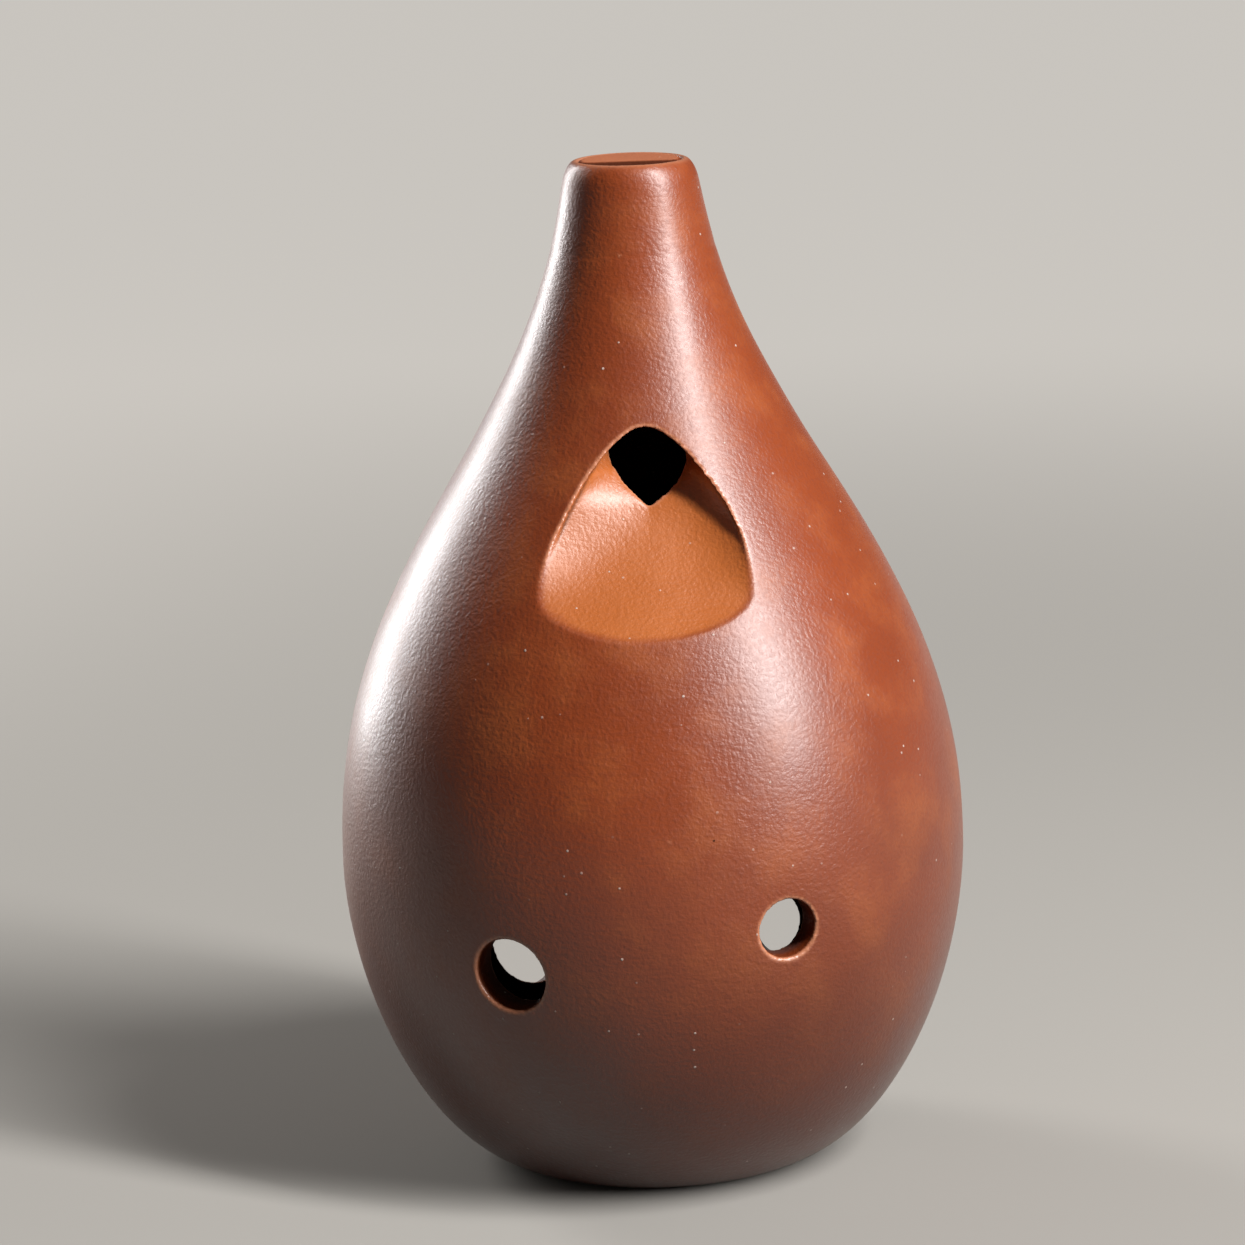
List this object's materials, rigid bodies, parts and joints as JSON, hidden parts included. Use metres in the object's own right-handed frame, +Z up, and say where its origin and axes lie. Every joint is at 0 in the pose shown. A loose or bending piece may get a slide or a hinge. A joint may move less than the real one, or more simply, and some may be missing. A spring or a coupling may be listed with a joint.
{
  "type": "whistle-mouthed xun",
  "caption": "Hollow egg-shaped clay vessel flute with a round blowing neck, arched whistle window, finger holes and a flat foot",
  "frame": {"origin": "middle of the flat foot, on the surface that the instrument stands on", "axes": "+Z up along the neck, -Y is the front with the window and two finger holes, +X is to the right seen from the front"},
  "size_m": [0.0838, 0.0838, 0.135],
  "materials": {
    "burnished_clay": "satin burnished, fired red clay",
    "plain_clay": "matt, fired red clay"
  },
  "bodies": {
    "root": {"lower_bowl": "burnished_clay", "upper_shell": "burnished_clay", "mouthpiece_collar": "burnished_clay", "windway_block": "plain_clay"}
  },
  "joints": []
}
